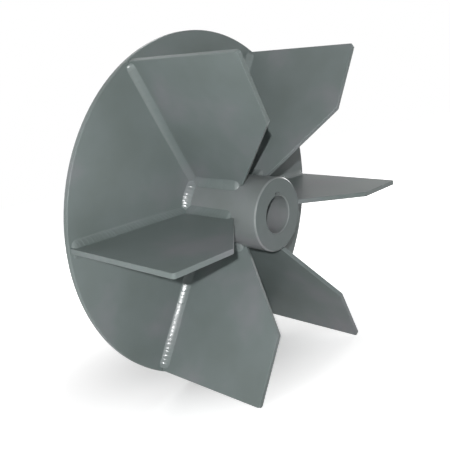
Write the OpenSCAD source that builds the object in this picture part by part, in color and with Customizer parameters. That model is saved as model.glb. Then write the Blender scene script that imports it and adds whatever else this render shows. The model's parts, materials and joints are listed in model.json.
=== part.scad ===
// Blower wheel with six flat radial blades, welded from steel plate and a bored hub.
// Millimetres. The wheel is drawn about its own axis, with z = 0 on the front face of
// the back plate and the nose of the hub towards +z. The last step stands it as it
// rests on a floor: on the rim of its plate and the outer front corners of the two
// lower blades, so that its nose dips a little.

/* [Back plate] */
// Diameter of the back plate
plate_d = 311; // [260:1:400]
// Thickness of the back plate
plate_t = 4.8; // [3:0.1:8]
// Radius that rolls over the edges of the plate's rim
plate_edge_r = 0.8; // [0.3:0.1:1.4]

/* [Blades] */
// Thickness of a blade
blade_t = 4.2; // [3:0.1:6]
// How far a blade stands forward of the plate at its outer edge
blade_w = 109; // [96:1:140]
// Length of the straight front edge, from the outer corner inwards
front_edge_l = 58.5; // [30:0.5:75]
// Height at which the slanting edge meets the hub
blade_root_h = 55.5; // [36:0.5:66]
// How far a blade's outer edge stands in from the rim
tip_inset = 1; // [0.2:0.1:4]
// Corner radius at the outer front corner
tip_corner_r = 2.6; // [0.5:0.1:6]
// Corner radius where the front edge turns into the slanting edge
shoulder_r = 3; // [0.5:0.1:8]

/* [Hub] */
// Outer diameter of the hub
hub_d = 63.5; // [56:0.5:72]
// How far the nose of the hub stands forward of the plate
hub_l = 78; // [74:1:100]
// Diameter of the bore
bore_d = 31.8; // [24:0.1:34]
// Chamfer at the edge of the nose
nose_chamfer = 1.2; // [0.4:0.1:2.5]
// Chamfer at both mouths of the bore
bore_chamfer = 0.8; // [0.3:0.1:1.5]
// Diameter of the turned-down tail that passes through the plate
tail_d = 52; // [46:0.5:54]
// How far the tail stands out behind the plate
tail_out = 6; // [5:0.5:10]

/* [Keyway] */
// Width of the keyway
key_w = 6.4; // [4:0.1:8]
// Depth of the keyway beyond the bore
key_depth = 3.2; // [2:0.1:4]

/* [Set screws] */
// Thread diameter of a set screw
screw_d = 9.5; // [6:0.1:11]
// Length of a set screw
screw_l = 9.5; // [7:0.1:11]
// Key size of the hexagon socket, across its flats
socket_af = 4.8; // [3:0.1:5.6]
// Depth of the hexagon socket
socket_depth = 4.4; // [2.5:0.1:5.2]
// Distance from the nose of the hub to the middle of a set screw
screw_back = 38; // [28:1:46]
// Gap between a screw's point and the bore or the keyway
point_gap = 0.6; // [0.3:0.1:1]
// Play round a set screw in its tapped hole
thread_gap = 0.05; // [0.02:0.01:0.1]

/* [Welds] */
// Leg of the fillet welds
weld_leg = 5; // [3.5:0.1:6]
// Distance from one weld ripple to the next
ripple_pitch = 4.2; // [3.5:0.1:8]
// How far a ripple stands out, as a share of the leg
ripple_rise = 0.06; // [0.02:0.01:0.16]
// How far the crown of a weld bulges past a straight face, as a share of the leg
crown = 0.1; // [0:0.01:0.18]
// How far a weld stops short of a blade's end
weld_stop = 1.5; // [0.5:0.1:5]
// Gap kept between two weld runs that meet
run_gap = 0.1; // [0.02:0.01:0.3]

/* [Hidden] */

paint = "#6c7876";
blade_n = 6;
blade_step = 360 / blade_n;
plate_r = plate_d / 2;
tip_r = plate_r - tip_inset;
shoulder_at = tip_r - front_edge_l;
hub_r = hub_d / 2;
bore_r = bore_d / 2;
tail_r = tail_d / 2;
hub_back = -plate_t - tail_out;
key_top = bore_r + key_depth;

// Where each set screw sits: its angle round the hub and the radius of its point. One
// presses on the key. The other is two blade spaces on. Both are midway between blades.
key_angle = 90;
screw_seats = [[key_angle, key_top + point_gap],
               [key_angle - 2 * blade_step, bore_r + point_gap]];
screw_z = hub_l - screw_back;
screw_chamfer = screw_d / 12;

// The two lower blades stand half a step either side of straight down
low_blade = blade_step / 2;
// Lowest reach, below the axis, of the rim and of a lower blade's rounded corner when the
// nose dips by a degrees
function rim_low(a) = (plate_r - plate_edge_r) * cos(a) - plate_edge_r * sin(a) + plate_edge_r;
function tip_low(a) = (tip_r - tip_corner_r) * cos(low_blade) * cos(a)
    + (blade_w - tip_corner_r) * sin(a)
    + tip_corner_r * sqrt(pow(cos(low_blade) * cos(a), 2) + pow(sin(a), 2))
    + blade_t / 2 * sin(low_blade) * cos(a);
// One correction of the dip, by the gap that is left under the blade corner
function dip(a) = a + asin((rim_low(a) - tip_low(a)) / blade_w);
rest_tilt = dip(dip(dip(atan((plate_r - tip_r * cos(low_blade)) / blade_w))));
// Front and back limits of the standing wheel, from which its middle is found
front_y = -(tip_r * cos(low_blade) + blade_t / 2 * sin(low_blade)) * sin(rest_tilt)
    - blade_w * cos(rest_tilt);
back_y = plate_r * sin(rest_tilt) + plate_t * cos(rest_tilt);

// Stands a piece, drawn about the wheel's axis, as the wheel rests on the floor
module rested() {
    translate([0, -(front_y + back_y) / 2, rim_low(rest_tilt)])
        rotate([90 + rest_tilt, 0, 0])
            children();
}

// Points of an arc that rounds the corner b between a and c with radius r
function round_corner(a, b, c, r, steps = 8) =
    let (u = (a - b) / norm(a - b),
         v = (c - b) / norm(c - b),
         half = acos(u * v) / 2,
         mid = (u + v) / norm(u + v),
         centre = b + mid * r / sin(half),
         from = atan2(-mid[1], -mid[0]),
         turn = 90 - half,
         way = cross(u, v) > 0 ? -1 : 1)
    [for (i = [0 : steps])
        let (t = from + way * turn * (2 * i / steps - 1))
        centre + r * [cos(t), sin(t)]];

// Outline of a blade: radius across, height forward of the plate upwards
root_at = hub_r * cos(asin(blade_t / 2 / hub_r)) - 1;
heel = [root_at, 0];
toe = [tip_r, 0];
tip = [tip_r, blade_w];
shoulder = [shoulder_at, blade_w];
slant_dir = (shoulder - [hub_r, blade_root_h]) / norm(shoulder - [hub_r, blade_root_h]);
root_top = [root_at, blade_root_h - slant_dir[1] / slant_dir[0] * (hub_r - root_at)];
blade_outline = concat([heel, toe],
                       round_corner(toe, tip, shoulder, tip_corner_r),
                       round_corner(tip, shoulder, root_top, shoulder_r),
                       [root_top]);

// Flat plate blade, its inner end ground to the round of the hub
module blade(angle) {
    color(paint)
        rotate([0, 0, angle])
            difference() {
                translate([0, blade_t / 2, 0])
                    rotate([90, 0, 0])
                        linear_extrude(height = blade_t)
                            polygon(blade_outline);
                cylinder(h = 4 * blade_w, r = hub_r, center = true, $fn = 96);
            }
}

// Round plate with a rolled-over rim and a hole for the tail of the hub
module back_plate() {
    e = plate_edge_r;
    color(paint)
        rotate_extrude($fn = 180)
            union() {
                translate([tail_r, -plate_t])
                    square([plate_r - e - tail_r, plate_t]);
                translate([plate_r - 2 * e, e - plate_t])
                    square([2 * e, plate_t - 2 * e]);
                translate([plate_r - e, -e])
                    circle(r = e, $fn = 24);
                translate([plate_r - e, e - plate_t])
                    circle(r = e, $fn = 24);
            }
}

// Turned hub: nose, shoulder that seats on the plate, and a tail through it.
// The bore has a keyway at the top and two tapped holes for the set screws.
module hub() {
    c = nose_chamfer;
    b = bore_chamfer;
    color(paint)
        difference() {
            rotate_extrude($fn = 96)
                polygon([[bore_r, hub_back + b], [bore_r + b, hub_back], [tail_r - b, hub_back],
                         [tail_r, hub_back + b], [tail_r, 0], [hub_r, 0], [hub_r, hub_l - c],
                         [hub_r - c, hub_l], [bore_r + b, hub_l], [bore_r, hub_l - b]]);
            rotate([0, 0, key_angle])
                translate([0, -key_w / 2, hub_back - 1])
                    cube([key_top, key_w, hub_l - hub_back + 2]);
            for (seat = screw_seats)
                translate([0, 0, screw_z])
                    rotate([0, 90, seat[0]])
                        translate([0, 0, bore_r / 2])
                            cylinder(h = hub_r, r = screw_d / 2 + thread_gap, $fn = 48);
        }
}

// Two cup-point set screws with hexagon sockets, turned in below the surface
module set_screws() {
    c = screw_chamfer;
    color("#3f4244")
        for (seat = screw_seats)
            translate([0, 0, screw_z])
                rotate([0, 90, seat[0]])
                    translate([0, 0, seat[1]])
                        difference() {
                            rotate_extrude($fn = 48)
                                polygon([[0, c], [2 * c, 0], [3 * c, 0], [screw_d / 2, 2 * c],
                                         [screw_d / 2, screw_l - c], [screw_d / 2 - c, screw_l],
                                         [0, screw_l]]);
                            translate([0, 0, screw_l - socket_depth])
                                cylinder(h = screw_l, r = socket_af / 2 / cos(30), $fn = 6);
                        }
}

// A weld is a skin of cross sections along its run. Each section has five points, given as
// [distance from the wall, height on the wall] in legs: the root, the toe on the plate, two
// points of the crown and the toe on the wall.
bulge = 0.5 + crown;
section = [[0, 0], [1, 0], [0.32 + bulge * 0.68, 0.68 * bulge * 0.62],
           [0.68 * bulge * 0.62, 0.32 + bulge * 0.68], [0, 1]];
section_n = len(section);
// How far the crown of each ripple leads its toes, as a share of the pitch
lead = [0, 0, 0.4, 0.4, 0];
// Distance over which the closed end of a weld run rounds off
end_l = weld_leg * 0.8;
// Smallest share of the leg that is left at a closed end
end_min = 0.3;

// Sections of a run of given length: two to each ripple
function stations(run_l) = let (n = max(4, 2 * round(run_l / ripple_pitch))) [for (i = [0 : n]) i];
// Share of the leg at station i of n: the ripple, then the rounding of the closed ends
function swell(i) = i % 2 == 0 ? 1 - ripple_rise : 1;
function end_round(s) = s >= end_l ? 1 : max(end_min, sqrt(1 - pow(1 - max(s, 0) / end_l, 2)));

// Faces of a skin of n + 1 sections of five points, closed by a fan at each end
function skin_faces(n) = let (m = section_n) concat(
    [for (k = [1 : m - 2]) [0, k + 1, k]],
    [for (i = [0 : n - 1]) for (k = [0 : m - 1])
        let (a = i * m + k, b = i * m + (k + 1) % m) each [[a, b, b + m], [a, b + m, a + m]]],
    [for (k = [1 : m - 2]) [n * m, n * m + k, n * m + k + 1]]);

// The flats of a weld lie just outside the round of the hub, so that none cuts into it
flat_span = max(asin((blade_t / 2 + weld_leg) / hub_r) - asin(blade_t / 2 / hub_r),
                ripple_pitch / 2 / hub_r * 180 / PI);
wall_r = hub_r / cos(flat_span / 2);
// Angle from a blade's middle plane to the line that lies w off its face at w off the hub
function mitre(w) = asin((blade_t / 2 + w) / (wall_r + w));

// The run of a plate weld in one space between two blades: in from the rim along one
// blade, round the foot of the hub and out along the next blade
leg_run = tip_r - weld_stop - wall_r;
arc_run = wall_r * (blade_step - 2 * mitre(0)) * PI / 180;
plate_run = 2 * leg_run + arc_run;

// Place of a point w off the wall and z up it, at distance s along the run. The second
// half of the run mirrors the first about the middle of the space.
function plate_place(w, z, s) =
    s > leg_run + arc_run
        ? let (p = plate_place(w, z, plate_run - s), c = cos(blade_step), d = sin(blade_step))
            [p[0] * c + p[1] * d, p[0] * d - p[1] * c, z]
    : s > leg_run
        ? let (a = mitre(w) + (s - leg_run) / arc_run * (blade_step - 2 * mitre(w)))
            [(wall_r + w) * cos(a), (wall_r + w) * sin(a), z]
    : let (corner = (wall_r + w) * cos(mitre(w)), mouth = tip_r - weld_stop)
        [corner + (mouth - corner) * (1 - s / leg_run), blade_t / 2 + w, z];

module plate_weld(angle) {
    marks = stations(plate_run);
    n = len(marks) - 1;
    color(paint)
        rotate([0, 0, angle])
            polyhedron(
                points = [for (i = marks) for (k = [0 : section_n - 1])
                    let (s = plate_run * i / n,
                         size = weld_leg * swell(i) * end_round(min(s, plate_run - s)),
                         ahead = i == 0 || i == n ? 0 : lead[k] * ripple_pitch)
                    plate_place(size * section[k][0], size * section[k][1], min(s + ahead, plate_run))],
                faces = skin_faces(n));
}

// Upright run in the corner of hub and blade, from the plate weld up to the slanting edge
foot_h = weld_leg + run_gap;
upright_run = blade_root_h - end_l / 2 - foot_h;

module upright_weld() {
    marks = stations(upright_run);
    n = len(marks) - 1;
    polyhedron(
        points = [for (i = marks) for (k = [0 : section_n - 1])
            let (s = upright_run * i / n,
                 size = weld_leg * swell(i) * end_round(upright_run - s),
                 x = size * section[k][0],
                 y = size * section[k][1],
                 drop = i == 0 ? min(x, y) : 0,
                 ahead = i == 0 || i == n ? 0 : lead[k] * ripple_pitch,
                 r = wall_r + x,
                 a = asin((blade_t / 2 + y) / r))
            [r * cos(a), r * sin(a), foot_h - drop + min(s + ahead, upright_run)]],
        faces = skin_faces(n));
}

module hub_weld(angle) {
    color(paint)
        rotate([0, 0, angle]) {
            upright_weld();
            mirror([0, 1, 0])
                upright_weld();
        }
}

// Ring of weld behind the plate, in the corner of plate and tail
module back_weld() {
    steps = 2 * round(2 * PI * tail_r / ripple_pitch);
    wall = tail_r / cos(180 / steps);
    m = section_n;
    color(paint)
        translate([0, 0, -plate_t])
            mirror([0, 0, 1])
                polyhedron(
                    points = [for (i = [0 : steps - 1]) for (k = [0 : m - 1])
                        let (size = weld_leg * 0.9 * swell(i),
                             a = 360 / steps * (i + lead[k] * 2),
                             r = wall + size * section[k][0])
                        [r * cos(a), r * sin(a), size * section[k][1]]],
                    faces = [for (i = [0 : steps - 1]) for (k = [0 : m - 1])
                        let (j = (i + 1) % steps, q = (k + 1) % m)
                        each [[i * m + k, i * m + q, j * m + q], [i * m + k, j * m + q, j * m + k]]]);
}

// Blades are numbered clockwise, seen from the front, from the upper left one
function blade_angle(k) = 120 - blade_step * (k - 1);

rested() back_plate();
rested() hub();
rested() blade(blade_angle(1));  // blade_1
rested() blade(blade_angle(2));  // blade_2
rested() blade(blade_angle(3));  // blade_3
rested() blade(blade_angle(4));  // blade_4
rested() blade(blade_angle(5));  // blade_5
rested() blade(blade_angle(6));  // blade_6
rested() plate_weld(blade_angle(1));  // plate_weld_1
rested() plate_weld(blade_angle(2));  // plate_weld_2
rested() plate_weld(blade_angle(3));  // plate_weld_3
rested() plate_weld(blade_angle(4));  // plate_weld_4
rested() plate_weld(blade_angle(5));  // plate_weld_5
rested() plate_weld(blade_angle(6));  // plate_weld_6
rested() hub_weld(blade_angle(1));  // hub_weld_1
rested() hub_weld(blade_angle(2));  // hub_weld_2
rested() hub_weld(blade_angle(3));  // hub_weld_3
rested() hub_weld(blade_angle(4));  // hub_weld_4
rested() hub_weld(blade_angle(5));  // hub_weld_5
rested() hub_weld(blade_angle(6));  // hub_weld_6
rested() back_weld();
rested() set_screws();
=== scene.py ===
import json
import math
import random

import bpy
from mathutils import Matrix, Vector


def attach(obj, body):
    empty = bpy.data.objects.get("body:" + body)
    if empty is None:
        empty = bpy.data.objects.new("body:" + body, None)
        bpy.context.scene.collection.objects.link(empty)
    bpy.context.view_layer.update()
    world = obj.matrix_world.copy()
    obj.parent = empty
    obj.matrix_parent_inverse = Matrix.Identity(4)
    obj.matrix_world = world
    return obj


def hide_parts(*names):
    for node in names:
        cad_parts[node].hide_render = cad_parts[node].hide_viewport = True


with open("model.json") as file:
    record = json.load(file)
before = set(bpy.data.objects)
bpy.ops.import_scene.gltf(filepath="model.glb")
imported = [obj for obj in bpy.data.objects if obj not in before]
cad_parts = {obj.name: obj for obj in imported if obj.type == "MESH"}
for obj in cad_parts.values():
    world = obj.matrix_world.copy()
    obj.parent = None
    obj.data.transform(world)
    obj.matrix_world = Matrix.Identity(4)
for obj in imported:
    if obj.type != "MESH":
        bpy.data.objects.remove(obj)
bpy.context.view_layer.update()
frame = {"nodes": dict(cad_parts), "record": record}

nodes = frame["nodes"]

# Camera. The wheel is seen from its front left, a little above the hub, from close by, so
# that the near blades and the hub look large. The picture is tilted about the line of
# sight, which makes the bore axis run almost level across it.
CAMERA_AT = Vector((-0.39543, -0.33717, 0.20692))
CAMERA_LOOKS = Vector((0.72123, 0.67948, -0.13469))
CAMERA_ROLL = math.radians(12.396)
SENSOR_WIDTH = 36.0
LENS = 47.93
NEAREST_SEEN = 0.01
FARTHEST_SEEN = 50.0

camera_data = bpy.data.cameras.new("camera")
camera_data.sensor_fit = "HORIZONTAL"
camera_data.sensor_width = SENSOR_WIDTH
camera_data.lens = LENS
camera_data.clip_start = NEAREST_SEEN
camera_data.clip_end = FARTHEST_SEEN
camera_data.dof.use_dof = False
camera = bpy.data.objects.new("camera", camera_data)
bpy.context.scene.collection.objects.link(camera)
stand = Matrix.Translation(CAMERA_AT)
upright = CAMERA_LOOKS.to_track_quat("-Z", "Y").to_matrix().to_4x4()
camera.matrix_world = stand @ upright @ Matrix.Rotation(-CAMERA_ROLL, 4, "Z")
bpy.context.scene.camera = camera


# Back plate. A round of hot-rolled steel, flame-cut, its rim ground smooth, then welded to
# the blades and the hub. The whole wheel is sprayed with one coat of grey machine enamel,
# which rounds every edge a little.
PAINT_DEEP = "68716f"
PAINT_GREY = "6e7776"
PAINT_PALE = "7c7e81"
RIM_EDGE = 0.0002
RIM_STEPS = 2

# Sizes of the clouds of tone and of the orange peel, and how deep the peel is
CLOUD_SIZE = 0.055
PEEL_SIZE = 0.0022
PEEL_DEPTH = 0.00006

# The levels of the clouds at which the coat has each colour, and those of its gloss
CLOUD_TONES = ((0.3, PAINT_DEEP), (0.5, PAINT_GREY), (0.72, PAINT_PALE))
CLOUD_LOW = 0.3
CLOUD_HIGH = 0.7


def linear(hex_colour):
    """An sRGB hex colour as linear red, green, blue and full alpha."""
    parts = [int(hex_colour[i:i + 2], 16) / 255 for i in (0, 2, 4)]
    return [c / 12.92 if c <= 0.04045 else ((c + 0.055) / 1.055) ** 2.4 for c in parts] + [1.0]


def add_node(tree, kind, links=None, **settings):
    """Adds a node, sets its properties and sockets, and links its named inputs."""
    made = tree.nodes.new(kind)
    for name, value in settings.items():
        if hasattr(made, name):
            setattr(made, name, value)
        else:
            made.inputs[name.replace("_", " ")].default_value = value
    for name, source in (links or {}).items():
        tree.links.new(source, made.inputs[name])
    return made


def blank_material(name):
    material = bpy.data.materials.new(name)
    material.use_nodes = True
    material.node_tree.nodes.clear()
    return material, material.node_tree


def tone_ramp(tree, level, tones):
    """Turns a level into a colour; tones are (level, sRGB hex colour), from low to high."""
    made = add_node(tree, "ShaderNodeValToRGB", {"Fac": level})
    stops = made.color_ramp.elements
    lowest, *between, highest = tones
    for stop, (position, colour) in ((stops[0], lowest), (stops[1], highest)):
        stop.position = position
        stop.color = linear(colour)
    for position, colour in between:
        stops.new(position).color = linear(colour)
    return made.outputs["Color"]


def machine_enamel(name, shiniest, dullest, gloss, lathe_and_painted_light=None):
    """Alkyd machine enamel, sprayed on welded steel. It dries semi-gloss, with a fine orange
    peel, slow clouds of tone where the coat is thicker, and patches that are a little duller.
    The lathe argument adds what shows of a turned bar below the coat, and gives back the coat's
    colour with a painted sheen and painted shade in it."""
    material, tree = blank_material(name)
    place = add_node(tree, "ShaderNodeTexCoord").outputs["Object"]
    clouds = add_node(tree, "ShaderNodeTexNoise", {"Vector": place}, Scale=1 / CLOUD_SIZE,
                      Detail=3.0).outputs["Fac"]
    coat = tone_ramp(tree, clouds, CLOUD_TONES)
    dull = add_node(tree, "ShaderNodeMapRange", {"Value": clouds}, From_Min=CLOUD_LOW,
                    From_Max=CLOUD_HIGH, To_Min=shiniest, To_Max=dullest)
    peel = add_node(tree, "ShaderNodeTexNoise", {"Vector": place}, Scale=1 / PEEL_SIZE, Detail=2.0)
    bump = add_node(tree, "ShaderNodeBump", {"Height": peel.outputs["Fac"]}, Strength=0.5,
                    Distance=PEEL_DEPTH)
    if lathe_and_painted_light:
        coat = lathe_and_painted_light(tree, place, coat, bump)
    shader = add_node(tree, "ShaderNodeBsdfPrincipled",
                      {"Base Color": coat, "Roughness": dull.outputs["Result"],
                       "Normal": bump.outputs["Normal"]})
    shader.inputs["Specular IOR Level"].default_value = gloss
    add_node(tree, "ShaderNodeOutputMaterial", {"Surface": shader.outputs["BSDF"]})
    return material


enamel = machine_enamel("grey_machine_enamel", shiniest=0.36, dullest=0.44, gloss=0.24)


def dress(piece, material, node):
    """Gives a piece its one finish, hangs it under the root body and hides the CAD node it stands
    for.
    """
    piece.data.materials.clear()
    piece.data.materials.append(material)
    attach(piece, "root")
    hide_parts(node)


# Points nearer than this are one point, and faces that bend less than this are one face
SAME_POINT = 1e-6
SAME_FACE = math.radians(0.3)

# Edges that bend more than SHARP are rounded, and what bends less than CREASED is shaded smooth
SHARP = math.radians(30)
CREASED = math.radians(40)


def rounded_copy(node, piece_name, edge, steps):
    """A merged copy of a CAD node, its sharp edges rounded as the coat of paint rounds them."""
    piece = bpy.data.objects.new(piece_name, nodes[node].data.copy())
    bpy.context.scene.collection.objects.link(piece)
    bpy.ops.object.select_all(action="DESELECT")
    piece.select_set(True)
    bpy.context.view_layer.objects.active = piece
    bpy.ops.mesh.customdata_custom_splitnormals_clear()
    bpy.ops.object.mode_set(mode="EDIT")
    bpy.ops.mesh.select_all(action="SELECT")
    bpy.ops.mesh.remove_doubles(threshold=SAME_POINT)
    bpy.ops.mesh.dissolve_limited(angle_limit=SAME_FACE)
    bpy.ops.object.mode_set(mode="OBJECT")
    round_off = piece.modifiers.new("paint_on_edges", "BEVEL")
    round_off.width = edge
    round_off.segments = steps
    round_off.limit_method = "ANGLE"
    round_off.angle_limit = SHARP
    round_off.harden_normals = False
    bpy.ops.object.modifier_apply(modifier=round_off.name)
    bpy.ops.object.shade_smooth_by_angle(angle=CREASED)
    flats = piece.modifiers.new("true_flats", "WEIGHTED_NORMAL")
    flats.keep_sharp = True
    bpy.ops.object.modifier_apply(modifier=flats.name)
    return piece


plate = rounded_copy("back_plate", "painted_back_plate", RIM_EDGE, RIM_STEPS)
dress(plate, enamel, "back_plate")


# Hub. Turned from bar: nose, shoulder and tail, with the bore, the keyway and two tapped
# holes for the set screws. It passes through the plate and is welded on both sides. The
# lathe's feed marks show through the paint. The coat is painted paler and pinker on the bar,
# a painted sheen, and darker on its nose, a painted shade.
HUB_EDGE = 0.0002
HUB_STEPS = 2
FEED_PITCH = 0.0014
FEED_DEPTH = 0.00002

# Shares of the coat's red, green and blue: on the bar a paler, pinker painted sheen, and on
# its faced nose a painted shade
BAR_PAINTED_SHEEN = (1.15, 1.07, 1.09)
END_PAINTED_SHADE = (0.54, 0.58, 0.58)

# A wave texture of scale 1 repeats this far apart
WAVE_PERIOD = math.pi / 10

# The wheel's own frame, as it stands: x across, y up and z out of the nose
bore = next(m for m in frame["record"]["mounts"] if m["name"] == "shaft_bore")
nose_way = -Vector(bore["axis"]).normalized()
across = Vector((1.0, 0.0, 0.0))
upward = nose_way.cross(across)
wheel_axes = Matrix((across, upward, nose_way)).transposed().to_4x4()
STANDING = Matrix.Translation(Vector(bore["pos_m"])) @ wheel_axes

hub = rounded_copy("hub", "painted_hub", HUB_EDGE, HUB_STEPS)
nose_at = max(nose_way.dot(vertex.co) for vertex in hub.data.vertices)


def turned_bar_and_painted_light(tree, place, coat, bump):
    """Puts feed marks below the peel, and paints sheen into the coat on the bar and shade on its
    nose.
    """
    along = add_node(tree, "ShaderNodeMapping", {"Vector": place}, vector_type="TEXTURE")
    along.inputs["Rotation"].default_value = STANDING.to_euler()
    rings = add_node(tree, "ShaderNodeTexWave", {"Vector": along.outputs["Vector"]},
                     wave_type="BANDS", bands_direction="Z", Scale=WAVE_PERIOD / FEED_PITCH,
                     Distortion=0.0)
    marks = add_node(tree, "ShaderNodeBump", {"Height": rings.outputs["Fac"]}, Strength=0.6,
                     Distance=FEED_DEPTH)
    tree.links.new(marks.outputs["Normal"], bump.inputs["Normal"])
    split = add_node(tree, "ShaderNodeSeparateXYZ", {"Vector": along.outputs["Vector"]})
    # Painted light: the coat is made darker on the nose face as painted shade, and paler and
    # pinker on the bar as painted sheen
    on_end = add_node(tree, "ShaderNodeMapRange", {"Value": split.outputs["Z"]},
                      From_Min=nose_at - HUB_EDGE, From_Max=nose_at - HUB_EDGE / 4)
    shade = add_node(tree, "ShaderNodeVectorMath", operation="MULTIPLY_ADD")
    tree.links.new(on_end.outputs["Result"], shade.inputs[0])
    shade.inputs[1].default_value = [end - bar for end, bar in zip(END_PAINTED_SHADE, BAR_PAINTED_SHEEN)]
    shade.inputs[2].default_value = BAR_PAINTED_SHEEN
    shaded = add_node(tree, "ShaderNodeVectorMath", operation="MULTIPLY")
    tree.links.new(coat, shaded.inputs[0])
    tree.links.new(shade.outputs["Vector"], shaded.inputs[1])
    return shaded.outputs["Vector"]


# The paint on the bar is the same enamel, a little shinier over the smooth turned metal. Its
# colour carries a painted sheen on the bar and painted shade on the nose.
turned_enamel = machine_enamel("enamel_on_turned_bar", shiniest=0.29, dullest=0.35, gloss=0.4,
                               lathe_and_painted_light=turned_bar_and_painted_light)
dress(hub, turned_enamel, "hub")


# Set screws. Two socket set screws of alloy steel, blackened in a hot oxide bath, which leaves
# them nearly black with a dull oily shine. They go in after the wheel is painted.
SCREW_EDGE = 0.00012
SCREW_STEPS = 2
OXIDE_DARK = "1f2124"
OXIDE_WORN = "3b3c3e"
OXIDE_MOTTLE = 0.0012
OXIDE_DEPTH = 0.00003
OXIDE_TONES = ((0.35, OXIDE_DARK), (0.7, OXIDE_WORN))


def black_oxide():
    """Black oxide is a thin dark skin on the steel, a little browner where worn."""
    material, tree = blank_material("black_oxide_steel")
    place = add_node(tree, "ShaderNodeTexCoord").outputs["Object"]
    mottle = add_node(tree, "ShaderNodeTexNoise", {"Vector": place}, Scale=1 / OXIDE_MOTTLE,
                      Detail=4.0).outputs["Fac"]
    grip = add_node(tree, "ShaderNodeBump", {"Height": mottle}, Strength=0.3, Distance=OXIDE_DEPTH)
    shader = add_node(tree, "ShaderNodeBsdfPrincipled",
                      {"Base Color": tone_ramp(tree, mottle, OXIDE_TONES),
                       "Normal": grip.outputs["Normal"]}, Metallic=0.7, Roughness=0.4)
    add_node(tree, "ShaderNodeOutputMaterial", {"Surface": shader.outputs["BSDF"]})
    return material


screws = rounded_copy("set_screws", "black_set_screws", SCREW_EDGE, SCREW_STEPS)
dress(screws, black_oxide(), "set_screws")


# Blades. Six flat blanks sheared from plate, the front corner cut away on a slant, set on
# edge square to the back plate and welded along both roots.
BLADE_N = 6
BLADE_EDGE = 0.00055
BLADE_STEPS = 3

for k in range(1, BLADE_N + 1):
    blade = rounded_copy(f"blade_{k}", f"painted_blade_{k}", BLADE_EDGE, BLADE_STEPS)
    dress(blade, enamel, f"blade_{k}")


# Welds along the back plate. One run of MIG fillet weld for each space between two blades:
# in along one blade, round the foot of the hub and out along the next. The puddle froze in
# overlapping crescents, which the paint softens.
BLADE_T = 0.0042
TIP_R = 0.1545
WELD_LEG = 0.005
WELD_STOP = 0.0015
STEP_ANGLE = math.radians(60)
FIRST_BLADE = math.radians(120)

# The wall that a bead climbs at the hub, a little outside the bar
WALL_R = 0.03188

# The paint lies smoother and shinier on the frozen metal of a weld than on rolled plate
weld_enamel = machine_enamel("enamel_on_weld", shiniest=0.23, dullest=0.265, gloss=0.42)

# The face of a fillet weld is slightly hollow, and the paint fills its toes, so that it runs
# out level with both plates. Where a run ends the puddle froze round and its face is flat.
FACE_STEPS = 14
TOE = 1.14
RUN_OUT = 0.0055
END_FLAT = 2.0
WELD_CREASED = math.radians(50)

# A face is the height of its ripples, how hollow it is, and how far it leans up the wall
USUAL_FACE = (0.0003, 2.9, 1.0)

# Length of one ripple, the steps of the mesh in it, and its front, which is one part in seven
RIPPLE = 0.0037
STEPS_PER_RIPPLE = 8
FRONT_PART = 7
FEWEST_RIPPLES = 3
SPARE_RIPPLES = 3

# Ripples differ in height, by these factors, and in place, by these shares of a ripple
HEIGHT_RANGE = (0.35, 1.35)
SHIFT_RANGE = (-0.28, 0.28)

# The middle of a crescent lies this share of a ripple ahead of its two ends
CRESCENT = 0.55

# The product of a point's two shares of the leg, times MID_FACE, is near 1 in mid-face. The
# crescent and the ripple's height are whole a little outside it.
MID_FACE = 5.2
CRESCENT_WHOLE = 1.05
HEIGHT_WHOLE = 1.6

# A ripple rises square to the face, so this share off the wall and this share up it
RISE_SHARE = 0.7

# The leg of the weld wanders by this share, in a few slow waves with a random start
WANDER = 0.07
WAVE_N = 4
WAVE_RANGE = (0.008, 0.04)
WAVE_START = (0, 6.28)


def weld_face(j, hollow):
    """Point j of the face: shares of the leg along the plate and up the wall; 0 is the root."""
    if j == 0:
        return 0.0, 0.0
    turn = math.radians(90) * (j - 1) / FACE_STEPS
    return TOE * math.cos(turn) ** hollow, TOE * max(0.0, math.sin(turn)) ** hollow


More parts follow.
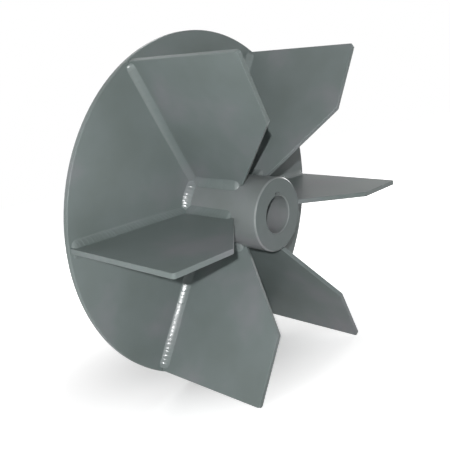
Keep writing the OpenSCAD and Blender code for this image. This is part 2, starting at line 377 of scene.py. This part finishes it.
def weld_bead(name, length, place, face, seed, backward=False, closed_start=True, closed_end=True):
    """A rippled fillet bead. place(w, z, s) gives the point w off the wall and z up it, at
    distance s along the run; face(s) is its face there; backward if welded from the far end."""
    chance = random.Random(seed)
    ripple_n = max(FEWEST_RIPPLES, round(length / RIPPLE))
    heights = [chance.uniform(*HEIGHT_RANGE) for _ in range(ripple_n + SPARE_RIPPLES)]
    shifts = [chance.uniform(*SHIFT_RANGE) for _ in range(ripple_n + SPARE_RIPPLES)]
    waves = [(chance.uniform(*WAVE_RANGE), chance.uniform(*WAVE_START)) for _ in range(WAVE_N)]
    n = ripple_n * STEPS_PER_RIPPLE
    m = FACE_STEPS + 2
    bpy.ops.object.select_all(action="DESELECT")
    bpy.ops.mesh.primitive_grid_add(x_subdivisions=m, y_subdivisions=n, size=length)
    bead = bpy.context.object
    bead.name = name
    for i in range(n + 1):
        s = length * i / n
        wander = sum(math.sin(s / wave + start) for wave, start in waves) / len(waves)
        leg = WELD_LEG * (1 + WANDER * wander)
        rippled, hollow, lean = face(s)
        travelled = length - s if backward else s
        for near_end, gap in ((closed_start, s), (closed_end, length - s)):
            if near_end and gap < RUN_OUT:
                left = gap / RUN_OUT
                leg *= math.sqrt(left * (2 - left))
                hollow += (END_FLAT - hollow) * (1 - left) ** 2
        for j in range(m + 1):
            out, up = weld_face(j % m, hollow)
            middle = MID_FACE * out * up
            lead = CRESCENT * min(1.0, middle * CRESCENT_WHOLE)
            at = travelled / length * ripple_n - lead + 1
            which = int(at)
            part = min(max(at - which + shifts[which], 0.0), 1.0)
            scale = (1 - part) * min(1.0, part * FRONT_PART)
            rise = rippled * heights[which] * scale * min(1.0, middle * HEIGHT_WHOLE)
            w = leg * out / lean + rise * RISE_SHARE
            z = leg * up * lean + rise * RISE_SHARE
            bead.data.vertices[i * (m + 1) + j].co = STANDING @ Vector(place(w, z, s))
    bpy.ops.object.mode_set(mode="EDIT")
    bpy.ops.mesh.select_all(action="SELECT")
    bpy.ops.mesh.remove_doubles(threshold=SAME_POINT)
    bpy.ops.mesh.fill_holes(sides=m)
    bpy.ops.mesh.normals_make_consistent(inside=False)
    bpy.ops.object.mode_set(mode="OBJECT")
    bpy.ops.object.shade_smooth_by_angle(angle=WELD_CREASED)
    return bead


def mitre(w):
    """Angle from a blade's middle to the line that lies w off its face at w off the hub."""
    return math.asin((BLADE_T / 2 + w) / (WALL_R + w))


MOUTH = TIP_R - WELD_STOP
LEG_RUN = MOUTH - WALL_R
ARC_RUN = WALL_R * (STEP_ANGLE - 2 * mitre(0))
PLATE_RUN = 2 * LEG_RUN + ARC_RUN


def turned(point, angle):
    """The point turned about the wheel's axis."""
    c, s = math.cos(angle), math.sin(angle)
    return point[0] * c - point[1] * s, point[0] * s + point[1] * c, point[2]


def space_place(w, z, s):
    """Along one blade, round the hub, and out along the next, in the space beside angle 0."""
    if s > LEG_RUN + ARC_RUN:
        x, y, z = space_place(w, z, PLATE_RUN - s)
        return turned((x, -y, z), STEP_ANGLE)
    if s > LEG_RUN:
        a = mitre(w) + (s - LEG_RUN) / ARC_RUN * (STEP_ANGLE - 2 * mitre(w))
        return (WALL_R + w) * math.cos(a), (WALL_R + w) * math.sin(a), z
    corner = (WALL_R + w) * math.cos(mitre(w))
    return corner + (MOUTH - corner) * (1 - s / LEG_RUN), BLADE_T / 2 + w, z


# The faces that differ: along the first blade, round the hub, along the next. The first run
# was welded the other way round, and the last was pulled high up its second blade.
FLAT_HIGH_FACE = (0.00016, 2.4, 1.14)
RUN_FACES = {1: ((0.00012, 2.9, 1.0), (0.00034, 2.4, 1.14), (0.0002, 2.9, 1.0)),
             6: (USUAL_FACE, USUAL_FACE, FLAT_HIGH_FACE)}
WELDED_BACKWARD = 1
CORNER_BLEND = 0.005
PLATE_SEED = 100


def share(s, corner):
    """0 before a corner of the run and 1 after it, rising over a short stretch."""
    return min(max((s - corner) / CORNER_BLEND + 0.5, 0.0), 1.0)


for k in range(1, BLADE_N + 1):
    heading = FIRST_BLADE - STEP_ANGLE * (k - 1)
    three = tuple(zip(*RUN_FACES.get(k, (USUAL_FACE, USUAL_FACE, USUAL_FACE))))

    def on_plate(w, z, s):
        return turned(space_place(w, z, s), heading)

    def plate_face(s):
        near, far = share(s, LEG_RUN), share(s, LEG_RUN + ARC_RUN)
        return [first + (foot - first) * near + (last - foot) * far for first, foot, last in three]

    bead = weld_bead(f"weld_bead_plate_{k}", PLATE_RUN, on_plate, plate_face, PLATE_SEED + k,
                     backward=(k == WELDED_BACKWARD))
    dress(bead, weld_enamel, f"plate_weld_{k}")


# Welds up the hub. Two short upright runs for each blade, one on each side, from the weld
# on the plate to just below the slanting edge.
BLADE_ROOT_H = 0.0555
RUN_GAP = 0.0001
FOOT_H = WELD_LEG + RUN_GAP
SHORT_OF_EDGE = 0.4
UPRIGHT_RUN = BLADE_ROOT_H - SHORT_OF_EDGE * WELD_LEG - FOOT_H
HUB_FACE = (0.00024, 2.7, 1.0)
HUB_SEED = 200


def upright_place(w, z, s):
    """Here w is the distance off the hub and z the distance off the blade's face."""
    drop = min(w, z) if s == 0 else 0.0
    r = WALL_R + w
    a = math.asin((BLADE_T / 2 + z) / r)
    return r * math.cos(a), r * math.sin(a), FOOT_H - drop + s


for k in range(1, BLADE_N + 1):
    heading = FIRST_BLADE - STEP_ANGLE * (k - 1)
    pair = []
    for side in (1, -1):

        def on_hub(w, z, s):
            x, y, height = upright_place(w, z, s)
            return turned((x, side * y, height), heading)

        pair.append(weld_bead(f"weld_bead_hub_{k}", UPRIGHT_RUN, on_hub, lambda s: HUB_FACE,
                              HUB_SEED + 2 * k + side, backward=True, closed_start=False))
    bpy.ops.object.select_all(action="DESELECT")
    for bead in pair:
        bead.select_set(True)
    bpy.context.view_layer.objects.active = pair[0]
    bpy.ops.object.join()
    dress(pair[0], weld_enamel, f"hub_weld_{k}")


# Weld behind the plate. A closed ring of fillet weld in the corner of plate and hub tail,
# with a shorter leg than the other runs.
TAIL_R = 0.026
PLATE_T = 0.0048
RING_GAP = 0.00008
RING_SHARE = 0.9
RING_RUN = 2 * math.pi * TAIL_R
RING_FACE = (0.0006, 2.5, 1.0)
RING_SEED = 300


def ring_place(w, z, s):
    """Here w is the distance off the tail and z the distance behind the plate."""
    a = s / TAIL_R
    r = TAIL_R + RING_GAP + RING_SHARE * w
    return r * math.cos(a), r * math.sin(a), -PLATE_T - RING_SHARE * z


ring = weld_bead("weld_bead_back", RING_RUN, ring_place, lambda s: RING_FACE, RING_SEED,
                 closed_start=False, closed_end=False)
dress(ring, weld_enamel, "back_weld")


# Floor. A plain pale studio floor, white to the camera, that keeps the wheel's shadow. Its
# own glow to the camera is weak up to SHADOW_REACH from the middle of the shadow and full at
# ALL_WHITE, which paints a soft shadow round the wheel's foot on top of the cast one.
FLOOR_SIZE = 12.0
FLOOR_PAINT = (0.8, 0.8, 0.8, 1.0)
# The glow in the middle of the painted shadow, where that middle lies, and the distances over
# which the painted shadow fades out
PAINTED_SHADOW_GLOW = 0.2
PAINTED_SHADOW_MIDDLE = (0.0, 0.12, 0.0)
SHADOW_REACH = 0.05
ALL_WHITE = 0.26


def lit_rays(tree):
    """1 for camera, glossy and transmission rays, which see the white surroundings."""
    path = add_node(tree, "ShaderNodeLightPath")
    first = add_node(tree, "ShaderNodeMath", operation="MAXIMUM")
    tree.links.new(path.outputs["Is Camera Ray"], first.inputs[0])
    tree.links.new(path.outputs["Is Glossy Ray"], first.inputs[1])
    second = add_node(tree, "ShaderNodeMath", operation="MAXIMUM")
    tree.links.new(first.outputs[0], second.inputs[0])
    tree.links.new(path.outputs["Is Transmission Ray"], second.inputs[1])
    return second.outputs[0]


def floor_paint_and_painted_shadow():
    """Matt white studio paint, which glows white to the camera, but less near the wheel, where the
    weaker glow is a painted shadow.
    """
    material, tree = blank_material("white_studio_floor")
    place = add_node(tree, "ShaderNodeTexCoord").outputs["Object"]
    away = add_node(tree, "ShaderNodeVectorMath", operation="DISTANCE")
    tree.links.new(place, away.inputs[0])
    away.inputs[1].default_value = PAINTED_SHADOW_MIDDLE
    # Painted shadow: the glow is weak near the point under the wheel and full far from it
    level = add_node(tree, "ShaderNodeMapRange", {"Value": away.outputs["Value"]},
                     From_Min=SHADOW_REACH, From_Max=ALL_WHITE, To_Min=PAINTED_SHADOW_GLOW, To_Max=1.0)
    glow = add_node(tree, "ShaderNodeMath", operation="MULTIPLY")
    tree.links.new(lit_rays(tree), glow.inputs[0])
    tree.links.new(level.outputs["Result"], glow.inputs[1])
    light = add_node(tree, "ShaderNodeEmission", {"Strength": glow.outputs[0]})
    matt = add_node(tree, "ShaderNodeBsdfDiffuse", Color=FLOOR_PAINT)
    both = add_node(tree, "ShaderNodeAddShader")
    tree.links.new(light.outputs[0], both.inputs[0])
    tree.links.new(matt.outputs[0], both.inputs[1])
    add_node(tree, "ShaderNodeOutputMaterial", {"Surface": both.outputs[0]})
    return material


bpy.ops.object.select_all(action="DESELECT")
bpy.ops.mesh.primitive_plane_add(size=FLOOR_SIZE, location=(0, 0, 0))
floor = bpy.context.object
floor.name = "floor"
floor.data.materials.append(floor_paint_and_painted_shadow())


# Light. A small bright lamp just above the camera, whose shadows are narrow and sharp, weak
# soft boxes to the front and the left, a stronger one for the right-hand sides of the
# blades, and two behind that throw the soft shadow forward.
SURROUND = 0.055
WHITE = (1.0, 1.0, 1.0, 1.0)
LIT_POINT = Vector((0, 0, 0.15))


def surround_light():
    """A studio that the camera and reflections see as white, and that lights only faintly."""
    world = bpy.data.worlds.new("studio")
    bpy.context.scene.world = world
    world.use_nodes = True
    tree = world.node_tree
    tree.nodes.clear()
    level = add_node(tree, "ShaderNodeMapRange", {"Value": lit_rays(tree)}, To_Min=SURROUND,
                     To_Max=1.0)
    back = add_node(tree, "ShaderNodeBackground", {"Strength": level.outputs[0]}, Color=WHITE)
    add_node(tree, "ShaderNodeOutputWorld", {"Surface": back.outputs[0]})


surround_light()


def soft_box(name, compass, height, away, size, power):
    """A square lamp, placed by its direction from the wheel in degrees and its distance."""
    lamp = bpy.data.lights.new(name, "AREA")
    lamp.shape = "SQUARE"
    lamp.size = size
    lamp.energy = power
    made = bpy.data.objects.new(name, lamp)
    bpy.context.scene.collection.objects.link(made)
    a, e = math.radians(compass), math.radians(height)
    way = Vector((math.cos(a) * math.cos(e), math.sin(a) * math.cos(e), math.sin(e)))
    made.location = LIT_POINT + away * way
    made.rotation_euler = (-way).to_track_quat("-Z", "Y").to_euler()


soft_box("key", -140, 10.5, 0.8, 0.012, 5.1)
soft_box("fill_high", -150, 34, 0.75, 0.3, 0.25)
soft_box("fill_left", 176, 14, 0.75, 0.3, 0.75)
soft_box("fill_right", -80, 5, 1.6, 0.8, 1.2)
soft_box("side_right", 4, 8, 1.6, 0.5, 5.5)
soft_box("back_right", 60, 28, 1.6, 0.6, 7.0)
soft_box("back", 110, 30, 1.6, 0.8, 3.0)

bpy.context.scene.view_settings.view_transform = "Standard"
